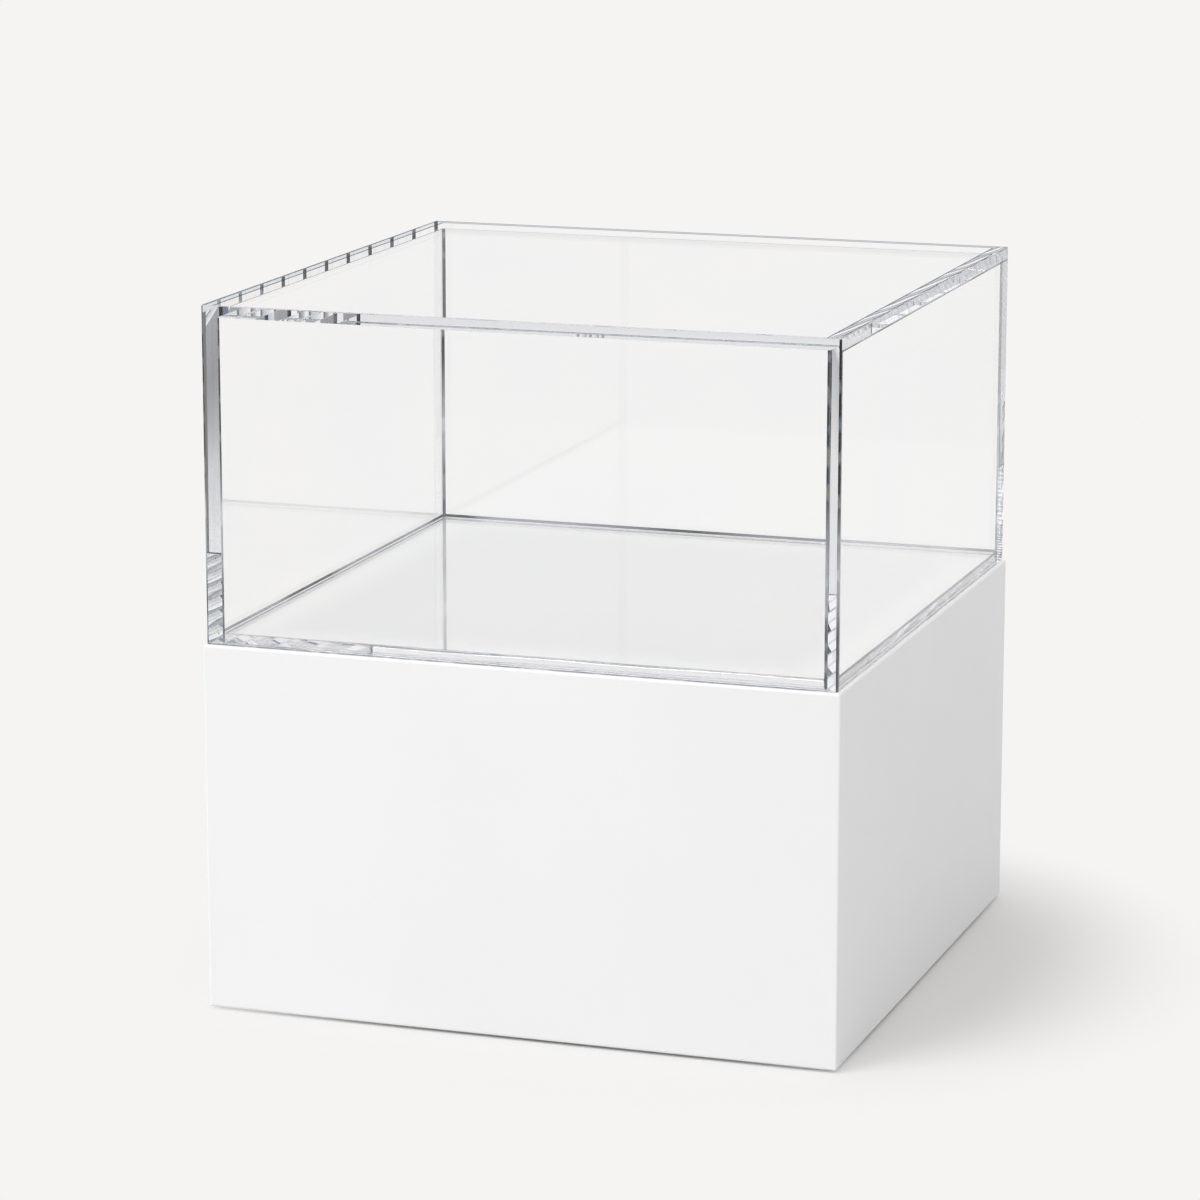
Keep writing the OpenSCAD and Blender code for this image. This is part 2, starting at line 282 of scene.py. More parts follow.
def stud_points():
    """A levelling stud from its spigot up: a bead on the spigot, a hexagon whose corners are turned
    off at 30 degrees, and a thread cut by its helix to the chamfered end."""
    angles = rounds(STUD_FACETS)
    flats = HEX_FLAT / np.cos(angles % (TAU / 6) - TAU / 12)
    slope = math.tan(TAU / 12)
    corner = (HEX_FLAT / math.cos(TAU / 12) - HEX_FLAT) * slope
    swell = np.linspace(-TAU / 4, TAU / 4, BEAD_RINGS)[:, None]
    rise = np.linspace(0, corner, CORNER_RINGS)[:, None]
    turned_off = np.minimum(flats, HEX_FLAT + rise / slope)
    low, end = HEX_TOP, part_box("foot_stud_front_left")[1][2]
    steps = np.arange(low + EASE, end, STUD_PITCH / STUD_PITCH_RINGS)[:, None]
    cut = thread(steps, angles, STUD_PITCH, STUD_DEPTH)
    cut = cut * faded(steps, low + THREAD_START, end + STUD_PITCH, STUD_PITCH)
    chamfered = np.minimum(STUD_RADIUS - cut, STUD_RADIUS + end - STUD_CHAMFER - steps)
    stretches = [
        (column(SPIGOT_RADIUS - EASE, SPIGOT_RADIUS), column(SPIGOT_FOOT, SPIGOT_FOOT + EASE)),
        (SPIGOT_RADIUS + BEAD * np.cos(swell), BEAD_HEIGHT + BEAD * np.sin(swell)),
        (column(SPIGOT_RADIUS), column(HEX_FOOT)),
        (turned_off, HEX_FOOT + rise),
        (turned_off[::-1], HEX_TOP - rise[::-1]),
        (column(STUD_RADIUS), column(HEX_TOP)),
        (chamfered, steps),
        (column(STUD_RADIUS - STUD_CHAMFER), column(end)),
    ]
    return rings_of(stretches, angles)


def levelling_studs(mat):
    """The four threaded studs, each in the middle of its CAD node's box."""
    points = stud_points()
    for corner in CORNERS:
        low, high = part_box("foot_stud_" + corner)
        middle = [(low[0] + high[0]) / 2, (low[1] + high[1]) / 2, 0]
        piece = turned_piece("threaded_stud_" + corner, points, [(np.eye(3), middle)], mat)
        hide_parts("foot_stud_" + corner)
        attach(piece, "stud_" + corner)


def screw_points():
    """A countersunk wood screw. Its head is a disc whose depth is the recess's where a point lies
    near one of the cross's two lines; below it come the cone, a plain shank, a thread and a point."""
    angles = rounds(SCREW_FACETS)
    spread = np.linspace(HEAD_MIDDLE, 1, HEAD_RINGS)[:, None] * (HEAD_RADIUS - EASE)
    off_line = np.minimum(np.abs(spread * np.cos(angles)), np.abs(spread * np.sin(angles)))
    inside = np.clip((RECESS_WIDTH - off_line) / EASE, 0, 1) * np.clip((RECESS_REACH - spread) / EASE, 0, 1)
    neck = HEAD_RADIUS - SCREW_RADIUS
    steps = np.arange(neck, SCREW_LENGTH, SCREW_PITCH / SCREW_PITCH_RINGS)[:, None]
    outline = SCREW_RADIUS * np.clip((SCREW_LENGTH - steps) / TAPER, TIP, 1)
    cut = thread(steps, angles, SCREW_PITCH, SCREW_DEPTH)
    cut = cut * faded(steps, PLAIN_SHANK, SCREW_LENGTH + SCREW_PITCH, SCREW_PITCH) * outline / SCREW_RADIUS
    stretches = [
        (spread, RECESS_DEPTH * inside),
        (column(HEAD_RADIUS - EASE / 2), column(EASE / 2)),
        (outline - cut, steps),
    ]
    return rings_of(stretches, angles)


def quarter_turns():
    """The turns about Z that carry the front onto each side."""
    angle = np.arange(4) * TAU / 4
    flat, one = 0 * angle, 0 * angle + 1
    rows = [[np.cos(angle), -np.sin(angle), flat], [np.sin(angle), np.cos(angle), flat], [flat, flat, one]]
    return np.moveaxis(np.array(rows), -1, 0)


def wood_screws(name, node_name, mat, line, height, tilt):
    """Two screws along each side, lying at line out from the middle and at this height."""
    ends = [np.array([end * SCREW_REACH, -line, height]) for end in (-1, 1)]
    places = [(spin @ tilt, spin @ end) for spin in quarter_turns() for end in ends]
    piece = turned_piece(name, screw_points(), places, mat)
    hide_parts(node_name)
    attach(piece, "plinth")


# ---- Materials ----

def material(name):
    """A new node material, its node tree and its Principled shader."""
    mat = bpy.data.materials.new(name)
    mat.use_nodes = True
    return mat, mat.node_tree, mat.node_tree.nodes["Principled BSDF"]


def node(tree, kind, inputs=(), **settings):
    """A node with plain settings, whose inputs are values or other nodes' output sockets."""
    made = tree.nodes.new("ShaderNode" + kind)
    for name, value in settings.items():
        setattr(made, name, value)
    for socket, source in dict(inputs).items():
        if isinstance(source, bpy.types.NodeSocket):
            tree.links.new(source, made.inputs[socket])
        else:
            made.inputs[socket].default_value = source
    return made


def maths(tree, operation, first, second=0.0):
    """The output of a Math node."""
    return node(tree, "Math", {0: first, 1: second}, operation=operation).outputs[0]


def ramp(tree, value, low, high, start=0.0, end=1.0):
    """From start to end as value goes smoothly from low to high."""
    inputs = {"Value": value, "From Min": low, "From Max": high, "To Min": start, "To Max": end}
    return node(tree, "MapRange", inputs, interpolation_type="SMOOTHSTEP").outputs[0]


def varied(tree, noise, start, end):
    """From start to end over the middle of a noise value's range."""
    return ramp(tree, noise, 0.3, 0.7, start, end)


def bands(tree, value, stops):
    """The output of a Color Ramp with one stop for each (position, colour), in order."""
    made = node(tree, "ValToRGB", {0: value})
    elements = made.color_ramp.elements
    for element, (position, colour) in zip(elements, [stops[0], stops[-1]]):
        element.position = position
        element.color = (*colour, 1)
    for position, colour in stops[1:-1]:
        elements.new(position).color = (*colour, 1)
    return made.outputs["Color"]


def blended(tree, share, first, second, blend="MIX"):
    """The output of a colour mix."""
    return node(tree, "MixRGB", {"Fac": share, 1: first, 2: second}, blend_type=blend).outputs[0]


def position(tree):
    """The place on the piece, and its three coordinates."""
    place = node(tree, "TexCoord").outputs["Object"]
    return place, node(tree, "SeparateXYZ", {0: place}).outputs


def outermost(tree, axes):
    """The larger distance from the middle along X or Y."""
    return maths(tree, "MAXIMUM", maths(tree, "ABSOLUTE", axes["X"]), maths(tree, "ABSOLUTE", axes["Y"]))


def not_in_front(tree, axes):
    """The larger distance from the middle towards the left, the right or the back."""
    return maths(tree, "MAXIMUM", axes["Y"], maths(tree, "ABSOLUTE", axes["X"]))


def speckle(tree, scale, detail=2.0, stretch=(1, 1, 1)):
    """A noise value by the place on the piece, drawn out along an axis where stretch is small."""
    place, _ = position(tree)
    drawn = node(tree, "VectorMath", {0: place, 1: stretch}, operation="MULTIPLY").outputs[0]
    return node(tree, "TexNoise", {"Vector": drawn, "Scale": scale, "Detail": detail}).outputs["Fac"]


def feed(tree, shader, **sources):
    """Links outputs to the shader's sockets."""
    for name, source in sources.items():
        tree.links.new(source, shader.inputs[name.replace("_", " ")])


def relief(tree, height, depth=1.0):
    """Normals of a surface raised by height times depth."""
    return node(tree, "Bump", {"Height": height, "Distance": depth, "Strength": 1.0}).outputs[0]


THROUGH = (0.985, 0.985, 0.985, 1)     # colour of light that has plainly passed a sheet


def lets_light_in(tree, shader):
    """Puts a plain clear shader in for shadow rays and for light that the plinth scatters, so that
    the inside of the case is lit through its sheets."""
    path = node(tree, "LightPath")
    through = node(tree, "BsdfTransparent", {"Color": THROUGH})
    mixed = shader
    for kind in ("Is Diffuse Ray", "Is Shadow Ray"):
        mixed = node(tree, "MixShader", {
            "Fac": path.outputs[kind], 1: mixed.outputs[0], 2: through.outputs[0]})
    tree.links.new(mixed.outputs[0], tree.nodes["Material Output"].inputs["Surface"])


def glassy(name, clearness=1.0, roughness=0.0):
    """A material that lets this share of the light through."""
    mat, tree, shader = material(name)
    shader.inputs["Transmission Weight"].default_value = clearness
    shader.inputs["IOR"].default_value = IOR
    shader.inputs["Roughness"].default_value = roughness
    lets_light_in(tree, shader)
    return mat, tree, shader


TINT, TINT_DENSITY = (0.92, 0.93, 0.94, 1), 3
PAINTED_SEAT_SHADE = 0.2950, 0.2974             # heights of a painted dark line of shade where the walls meet the floor plate
WALL_INSIDE = 0.2372, 0.2378           # distances out, just short of the walls' inner faces and past them
PAINTED_TOP_SHADE = 0.5356, 0.5369              # heights of a painted dark line of shade under the top, on the right face
CORNER_GLINTS = 0.29, 0.42             # heights of the painted glints and dark lines on the back right edge
RIGHT_SIDE = 0.2470                    # past this X lies the cover's right face
PLATE_SIDE = 0.2360                    # past this X lie the sawn edges at the right, which get painted glints


def within(tree, value, limits):
    """1 where value lies between two limits."""
    return maths(tree, "MULTIPLY", maths(tree, "GREATER_THAN", value, limits[0]),
                 maths(tree, "LESS_THAN", value, limits[1]))


def tinted_inside(mat):
    """Adds a faint cool tint that builds up along a sheet."""
    tint = node(mat.node_tree, "VolumeAbsorption", {"Color": TINT, "Density": TINT_DENSITY})
    mat.node_tree.links.new(tint.outputs[0], mat.node_tree.nodes["Material Output"].inputs["Volume"])
    return mat


GLINTS = [                             # painted glints and dark lines, standing in for light bent round the corner of a sheet
    (0.0, (0.22, 0.24, 0.30)), (0.28, (0.55, 0.56, 0.58)), (0.36, (0.02, 0.03, 0.06)),
    (0.43, (0.10, 0.20, 0.42)), (0.48, (1, 1, 1)), (0.76, (1, 1, 1)), (0.84, (0.50, 0.38, 0.24)),
    (0.91, (0.02, 0.02, 0.02)), (1.0, (0.22, 0.24, 0.30)),
]
# Where the painted joint lines start, outward, and how far they spread
JOINTS_START, JOINTS_SPREAD = 0.2350, 0.0125
PAINTED_JOINT_LINES = [                             # painted lines and shade where the cemented joints are seen through the top, by the distance outward
    (0.0, (1, 1, 1)), (0.10, (1, 1, 1)), (0.13, (0.03, 0.04, 0.07)), (0.26, (0.03, 0.04, 0.07)),
    (0.30, (0.75, 0.76, 0.78)), (0.76, (0.75, 0.76, 0.78)), (0.80, (0.06, 0.08, 0.13)),
    (1.0, (0.06, 0.08, 0.13)),
]
PAINTED_BACK_JOINT_LINE = (0.60, 0.61, 0.64, 1)     # painted shade: the back joint, seen at a glance, as one grey line


def glints(tree, along, across, slant, length):
    """Painted glints and dark lines as slanting dashes, each as long as this: the slant is the run along for
    each step across.
    """
    run = maths(tree, "SUBTRACT", along, maths(tree, "MULTIPLY", across, slant))
    turns = maths(tree, "ADD", maths(tree, "DIVIDE", run, length), speckle(tree, scale=14, detail=0))
    return bands(tree, maths(tree, "FRACT", turns), GLINTS)


def streaked(tree):
    """The faint streaks of a cast sheet."""
    return bands(tree, speckle(tree, scale=7), [
        (0.3, (0.980, 0.985, 0.993)), (0.6, (0.994, 0.994, 0.994))])


def waviness(tree):
    """The slight waves in the faces of a cast sheet."""
    return relief(tree, speckle(tree, scale=12, detail=0), depth=0.005 * MM)


def clear_acrylic():
    """Cast acrylic: water clear, a little wavy and streaked. A painted dark line of shade runs along the
    left, back and right walls where they meet the floor plate, and another under the top at the right.
    Painted glints and dark lines run up the foot of the back right edge."""
    mat, tree, shader = glassy("clear_acrylic")
    _, axes = position(tree)
    # Painted shade: a dark line along the feet of the left, back and right walls
    line = maths(tree, "MULTIPLY", within(tree, axes["Z"], PAINTED_SEAT_SHADE),
                 within(tree, not_in_front(tree, axes), WALL_INSIDE))
    tone = bands(tree, speckle(tree, scale=12, detail=0), [
        (0.40, (0.004, 0.005, 0.008)), (0.65, (0.15, 0.16, 0.20))])
    coat_and_painted_light = blended(tree, line, streaked(tree), tone)
    at_right = maths(tree, "GREATER_THAN", axes["X"], RIGHT_SIDE)
    # Painted shade: a dark line under the top on the right face
    under_top = maths(tree, "MULTIPLY", at_right, within(tree, axes["Z"], PAINTED_TOP_SHADE))
    coat_and_painted_light = blended(tree, under_top, coat_and_painted_light, tone)
    # Painted glints and dark lines up the foot of the back right edge
    in_corner = maths(tree, "MULTIPLY", within(tree, axes["Z"], CORNER_GLINTS),
                      maths(tree, "GREATER_THAN", axes["Y"], WALL_INSIDE[1]))
    coat_and_painted_light = blended(tree, maths(tree, "MULTIPLY", at_right, in_corner), coat_and_painted_light,
                   glints(tree, axes["Y"], axes["Z"], slant=1.2, length=0.030))
    feed(tree, shader, Base_Color=coat_and_painted_light, Normal=waviness(tree))
    return mat


def clear_top():
    """The cover's level faces, with painted lines and shade where the joints of the left, back and right
    walls are seen through them, and painted glints along the right one."""
    mat, tree, shader = glassy("clear_acrylic_top")
    shader.inputs["IOR"].default_value = TOP_IOR
    _, axes = position(tree)
    outward = maths(tree, "SUBTRACT", not_in_front(tree, axes), JOINTS_START)
    painted_joint_lines = bands(tree, maths(tree, "DIVIDE", outward, JOINTS_SPREAD), PAINTED_JOINT_LINES)
    coat_and_painted_light = blended(tree, 1.0, streaked(tree), painted_joint_lines, "MULTIPLY")
    at_right = maths(tree, "GREATER_THAN", axes["X"], WALL_INSIDE[1])
    coat_and_painted_light = blended(tree, at_right, coat_and_painted_light, glints(tree, axes["Y"], axes["X"], slant=9, length=0.075))
    at_back = maths(tree, "GREATER_THAN", axes["Y"], WALL_INSIDE[1])
    coat_and_painted_light = blended(tree, at_back, coat_and_painted_light, PAINTED_BACK_JOINT_LINE, "MULTIPLY")
    feed(tree, shader, Base_Color=coat_and_painted_light, Normal=waviness(tree))
    return mat


OUT_OF_SQUARE = 0.02                   # slope of a sawn edge across its sheet
HOLLOW = 2.0                           # its curve, as half the slope for each metre across
WALL_MIDDLE, PLATE_MIDDLE = 0.2425, 0.291   # middle of a wall, outward, and of the plate, upward
WAVE, WAVE_HEIGHT = 0.145, 0.06 * MM   # length and height of the waves along a sawn edge


def sawn_acrylic():
    """The flame-polished edge of a sawn sheet: as clear as its faces, but a little out of square,
    curved and wavy, with painted glints and dark lines along it at the right. The relief is slope s + curve
    s^2, of the distance s from the sheet's middle."""
    mat, tree, shader = glassy("sawn_acrylic")
    _, axes = position(tree)
    out = maths(tree, "SUBTRACT", outermost(tree, axes), WALL_MIDDLE)
    up = maths(tree, "SUBTRACT", axes["Z"], PLATE_MIDDLE)
    across = maths(tree, "ADD", out, up)
    curved = maths(tree, "ADD", maths(tree, "MULTIPLY", out, out), maths(tree, "MULTIPLY", up, up))
    worked = maths(tree, "ADD", maths(tree, "MULTIPLY", across, OUT_OF_SQUARE),
                   maths(tree, "MULTIPLY", curved, HOLLOW))
    along = maths(tree, "ADD", maths(tree, "ADD", axes["X"], axes["Y"]), across)
    waves = maths(tree, "SINE", maths(tree, "MULTIPLY", along, TAU / WAVE))
    wavy = maths(tree, "ADD", worked, maths(tree, "MULTIPLY", waves, WAVE_HEIGHT))
    streaks = bands(tree, speckle(tree, scale=150), [(0.3, (0.97, 0.98, 1.0)), (0.6, (1, 1, 1))])
    at_right = maths(tree, "GREATER_THAN", axes["X"], PLATE_SIDE)
    coat_and_painted_light = blended(tree, at_right, streaks, glints(tree, axes["Y"], axes["Z"], slant=9, length=0.090))
    feed(tree, shader, Base_Color=coat_and_painted_light, Normal=relief(tree, wavy))
    return mat


BUFFED = 0.02                          # roughness of a buffed edge


def edge_with_painted_shade(name, stops, clearness):
    """A buffed edge or a cement line, with painted shade: a fine dark line, with paler and bluer dashes
    along it.
    """
    mat, tree, shader = glassy(name, clearness, BUFFED)
    feed(tree, shader, Base_Color=bands(tree, speckle(tree, scale=75, detail=0), stops))
    return mat


PAINTED_SHADE_BY_HEIGHT = [                    # painted shade on the cover's upright edges, by height
    (0.0, (0.10, 0.11, 0.13)), (0.330, (0.10, 0.11, 0.13)), (0.355, (0.40, 0.42, 0.46)),
    (0.385, (0.40, 0.42, 0.46)), (0.43, (0.02, 0.022, 0.03)), (0.50, (0.003, 0.004, 0.006)),
]


def upright_edge_painted_shade():
    """An upright edge of the cover, with painted shade: nearly black above and paler lower down, with dashes
    of blue.
    """
    mat, tree, shader = glassy("upright_edge_painted_shade", clearness=0.05, roughness=BUFFED)
    _, axes = position(tree)
    dashes = bands(tree, speckle(tree, scale=60, detail=0), [
        (0.0, (0, 0, 0)), (0.60, (0, 0, 0)), (0.64, (0.05, 0.08, 0.15)), (0.70, (0.2, 0.17, 0.13))])
    feed(tree, shader, Base_Color=blended(tree, 1.0, bands(tree, axes["Z"], PAINTED_SHADE_BY_HEIGHT), dashes, "ADD"))
    return mat


COATED_OUT, COATED_HIGH, COATED_LOW = 0.2475, 0.2845, 0.0045   # lacquer lies farther out, over or under
PLINTH_HALF, TOP = 0.25, 0.287         # half the plinth's width, and the height of its top
ON_TOP = TOP - 0.5 * MM                # what lies higher is its top face
EDGE_START = 0.2481                    # where the eased edges start, outward
PAINTED_LIGHT_BY_OUT = [                       # painted light on the plinth's top: painted shade in the middle and a painted glow along the floor plate's edges
    (0.0, (0.87, 0.87, 0.87)), (0.1950, (0.87, 0.87, 0.87)), (0.2180, (1, 1, 1)), (1.0, (1, 1, 1)),
]
# A painted highlight on the plinth's eased edges
EASED_PAINTED_HIGHLIGHT = (0.99, 0.99, 0.985, 1)


def white_lacquer():
    """Satin white lacquer with a slight orange peel, over fibreboard that is raw inside the plinth.
    It has painted light: a painted highlight on the eased edges, a painted glow where the cover's sheets
    throw light along their feet, painted shade in the middle of the top, and sides painted lighter towards
    the top and the left."""
    mat, tree, shader = material("white_lacquer")
    _, axes = position(tree)
    out = outermost(tree, axes)
    height_off = maths(tree, "SUBTRACT", axes["Z"], TOP)
    round_top = maths(tree, "GREATER_THAN", maths(tree, "ADD", out, height_off), EDGE_START)
    sides = maths(tree, "ADD", maths(tree, "ABSOLUTE", axes["X"]), maths(tree, "ABSOLUTE", axes["Y"]))
    round_side = maths(tree, "GREATER_THAN", sides, EDGE_START + PLINTH_HALF)
    eased = maths(tree, "MAXIMUM", round_top, round_side)
    on_top = maths(tree, "GREATER_THAN", axes["Z"], ON_TOP)
    # Painted light: the sides are painted lighter towards the top and the left, over a random tone
    slant = maths(tree, "SUBTRACT", axes["Z"], axes["X"])
    painted_light_slant = ramp(tree, slant, low=-0.25, high=0.5, start=-0.5, end=0.5)
    tone = bands(tree, maths(tree, "ADD", speckle(tree, scale=5), painted_light_slant), [
        (0.0, (0.915, 0.915, 0.915)), (1.0, (0.967, 0.967, 0.967))])
    coat_and_painted_light = blended(tree, on_top, tone, bands(tree, out, PAINTED_LIGHT_BY_OUT))
    coat_and_painted_light = blended(tree, eased, coat_and_painted_light, EASED_PAINTED_HIGHLIGHT)
    raw = bands(tree, speckle(tree, scale=900, detail=4), [
        (0.3, (0.33, 0.23, 0.14)), (0.7, (0.50, 0.38, 0.25))])
    coated = maths(tree, "MAXIMUM", maths(tree, "GREATER_THAN", out, COATED_OUT),
                   maths(tree, "GREATER_THAN", axes["Z"], COATED_HIGH))
    coated = maths(tree, "MAXIMUM", coated, maths(tree, "LESS_THAN", axes["Z"], COATED_LOW))
    gloss = maths(tree, "ADD", varied(tree, speckle(tree, scale=40), start=0.42, end=0.48),
                  ramp(tree, coated, low=0, high=1, start=0.45, end=0))
    feed(tree, shader, Base_Color=blended(tree, coated, raw, coat_and_painted_light), Roughness=gloss,
         Normal=relief(tree, speckle(tree, scale=600, detail=1), depth=0.02 * MM))
    return mat


def softwood(name, stretch):
    """Planed pine, whose growth rings and fibres are drawn out along the piece."""
    mat, tree, shader = material(name)
    rings = speckle(tree, scale=110, detail=3, stretch=stretch)
    fibres = speckle(tree, scale=1300, detail=2, stretch=stretch)
    wood = bands(tree, rings, [
        (0.30, (0.46, 0.28, 0.13)), (0.42, (0.66, 0.47, 0.26)),
        (0.60, (0.76, 0.59, 0.37)), (0.72, (0.58, 0.39, 0.20))])
    pores = bands(tree, fibres, [(0.35, (0.82, 0.80, 0.78)), (0.55, (1, 1, 1))])
    feed(tree, shader, Base_Color=blended(tree, 1.0, wood, pores, "MULTIPLY"),
         Roughness=varied(tree, rings, start=0.72, end=0.6),
         Normal=relief(tree, fibres, depth=0.05 * MM))
    return mat


LAYER_PAIR = 2 * MM * math.sqrt(2)     # two layers of ply, by the sum of the two coordinates across


def plywood(name, across):
    """Birch ply, whose 1 mm layers are stacked in the direction across, the same at every corner."""
    mat, tree, shader = material(name)
    place, _ = position(tree)
    folded = node(tree, "VectorMath", {0: place}, operation="ABSOLUTE").outputs[0]
    depth = node(tree, "VectorMath", {0: folded, 1: across}, operation="DOT_PRODUCT").outputs["Value"]
    layer = maths(tree, "FRACT", maths(tree, "DIVIDE", depth, LAYER_PAIR))
    plies = bands(tree, layer, [
        (0.0, (0.70, 0.55, 0.36)), (0.47, (0.66, 0.51, 0.33)), (0.50, (0.24, 0.15, 0.08)),
        (0.53, (0.54, 0.39, 0.23)), (0.97, (0.50, 0.36, 0.21)), (1.0, (0.24, 0.15, 0.08))])
    fibres = speckle(tree, scale=700, detail=3, stretch=(1, 1, 0.3))
    pores = bands(tree, fibres, [(0.35, (0.80, 0.78, 0.75)), (0.55, (1, 1, 1))])
    feed(tree, shader, Base_Color=blended(tree, 1.0, plies, pores, "MULTIPLY"),
         Roughness=varied(tree, fibres, start=0.78, end=0.66),
         Normal=relief(tree, fibres, depth=0.04 * MM))
    return mat


def zinc_steel():
    """Bright zinc plate, with a faint spangle and fine rubbed marks."""
    mat, tree, shader = material("zinc_steel")
    shader.inputs["Metallic"].default_value = 1
    place, _ = position(tree)
    flakes = node(tree, "TexVoronoi", {"Vector": place, "Scale": 900.0}).outputs["Distance"]
    marks = speckle(tree, scale=1600, detail=3, stretch=(1, 1, 6))
    plate = bands(tree, flakes, [(0.0, (0.56, 0.58, 0.60)), (0.8, (0.70, 0.70, 0.69))])
    feed(tree, shader, Base_Color=plate, Roughness=varied(tree, marks, start=0.24, end=0.42),
         Normal=relief(tree, marks, depth=0.01 * MM))
    return mat


def dark_nylon():
    """Moulded nylon, nearly black, with a fine spark grain."""
    mat, tree, shader = material("dark_nylon")
    spark = speckle(tree, scale=2200)
    tone = bands(tree, speckle(tree, scale=120), [
        (0.3, (0.032, 0.032, 0.034)), (0.7, (0.055, 0.055, 0.058))])
    feed(tree, shader, Base_Color=tone, Roughness=varied(tree, spark, start=0.5, end=0.7),
         Normal=relief(tree, spark, depth=0.06 * MM))
    return mat


def dress(piece, mat):
    """Gives a piece one material."""
    piece.data.materials.clear()
    piece.data.materials.append(mat)


# ---- Studio ----

FLOOR_HALF = 30.0
WHITE = (0.913, 0.905, 0.896)          # of the photograph's background
NEAR_FLOOR = (0.868, 0.860, 0.852)     # of the floor round the case
BOUNCE_FLOOR = (0.71, 0.71, 0.71)      # of the floor as it lights the case
SHADOW_MIDDLE = (-0.045, -0.005, 0)    # moves the shadow's middle to the right of the case
SHADOW_NEAR, SHADOW_FAR = 0.25, 0.46   # distances over which the case's shadow fades out
SKY = 0.70                             # strength of the sky's even light
KEY = {"direction": (-0.42, -0.42, 0.804), "strength": 0.94, "angle": 30}
FILL = {"direction": (0.0, -0.966, 0.259), "strength": 0.45, "angle": 60}
MANY_TURNS = 2.5                       # a ray mirrored more often has run along inside a sheet
BRIGHT = (1, 1, 1)
LIGHT = (0.86, 0.85, 0.845)
LAVENDER = (0.60, 0.61, 0.65)
GREY = (0.45, 0.45, 0.46)
UMBER = (0.20, 0.18, 0.17)
DARK = (0.03, 0.035, 0.05)
BLUE = (0.16, 0.24, 0.38)
BEIGE = (0.50, 0.40, 0.29)
ROOM_BY_HEIGHT = [(0.0, WHITE), (0.27, WHITE), (0.33, GREY), (0.42, DARK), (0.75, DARK), (0.82, WHITE)]

# What rays that have run along a sheet see, by bearing: 0.5 is straight behind the case, and 1 is
# at its right. There are panels far off on the floor and over it, narrow stripes to the sides, and
# tones by height over a narrow stretch.
FAR_START, FAR_END = 1.60, 1.75        # distances over which the near floor gives way to the panels
SEEN_ON_FLOOR = [
    (0.0, LAVENDER), (0.10, LAVENDER), (0.20, LIGHT), (0.335, LIGHT), (0.343, BLUE), (0.347, UMBER),
    (0.357, UMBER), (0.3605, BLUE), (0.363, BRIGHT), (0.37, LIGHT), (0.435, LIGHT), (0.447, UMBER),
    (0.475, UMBER), (0.485, LIGHT), (0.555, LIGHT), (0.569, (0.84, 0.83, 0.83)),
    (0.582, (0.68, 0.68, 0.69)), (0.588, (0.47, 0.47, 0.48)), (0.594, (0.34, 0.34, 0.35)),
    (0.604, GREY), (0.608, LIGHT), (0.63, LIGHT), (1.0, LAVENDER),
]
SEEN_ABOVE = [
    (0.0, LAVENDER), (0.02, LAVENDER), (0.08, BRIGHT), (0.30, LIGHT), (0.44, LIGHT), (0.50, LAVENDER),
    (0.56, LIGHT), (0.58, BRIGHT), (0.605, BRIGHT), (0.6215, LIGHT), (0.64, LIGHT), (0.90, BRIGHT),
    (1.0, BRIGHT),
]
STRIPES_IN_HALF_TURN = 600
STRIPES = [
    (0.0, BRIGHT), (0.12, LIGHT), (0.42, (0.62, 0.62, 0.64)), (0.47, GREY), (0.50, UMBER), (0.54, BLUE),
    (0.58, BRIGHT), (0.72, LIGHT), (0.80, GREY), (0.88, BEIGE), (0.92, UMBER), (0.96, BLUE), (1.0, BRIGHT),
]
# The stretches below are bearings to either side of straight behind
FLOOR_STRIPES = 0.100, 0.104           # stripes on the floor
ROOM_STRIPES = 0.1215, 0.1293          # stripes in the room
SHADED = 0.1293, 0.14                  # tones by height in the room
TOWARDS_FRONT, FAINTLY = 0.5, 0.35     # farther round there are faint stripes, of this share
SHADE_FOOT, SHADE_SPREAD = 0.15, 0.10  # where the tones by height start, and how far up they go
SHADES = [
    (0.0, (0.80, 0.80, 0.81)), (0.20, (0.70, 0.70, 0.71)), (0.42, (0.38, 0.38, 0.40)),
    (0.47, (0.26, 0.31, 0.40)), (0.53, BRIGHT), (0.70, LIGHT), (1.0, LIGHT),
]


def looked_at(tree, path):
    """1 for the camera's rays and for those that a smooth surface bends or mirrors."""
    seen = maths(tree, "ADD", path.outputs["Is Camera Ray"], path.outputs["Is Glossy Ray"])
    return maths(tree, "MINIMUM", maths(tree, "ADD", seen, path.outputs["Is Transmission Ray"]), 1.0)


def bearing(tree, axes):
    """The bearing of a place or a direction: 0.5 behind the case, and 1 at its right."""
    turns = maths(tree, "DIVIDE", maths(tree, "ARCTAN2", axes["X"], axes["Y"]), math.pi)
    return maths(tree, "ADD", turns, 0.5)


def striped(tree, round_about, limits, plain):
    """Plain tones, with stripes between two bearings to either side and towards the front."""
    aside = maths(tree, "ABSOLUTE", maths(tree, "SUBTRACT", round_about, 0.5))
    faint = maths(tree, "MULTIPLY", maths(tree, "GREATER_THAN", aside, TOWARDS_FRONT), FAINTLY)
    share = maths(tree, "MAXIMUM", within(tree, aside, limits), faint)
    repeated = maths(tree, "FRACT", maths(tree, "MULTIPLY", round_about, STRIPES_IN_HALF_TURN))
    return aside, blended(tree, share, plain, bands(tree, repeated, STRIPES))


def zigzag(tree, path):
    """1 for rays that have been mirrored so often that they must have run along inside a sheet."""
    deep = maths(tree, "GREATER_THAN", path.outputs["Glossy Depth"], MANY_TURNS)
    return maths(tree, "MULTIPLY", deep, looked_at(tree, path))


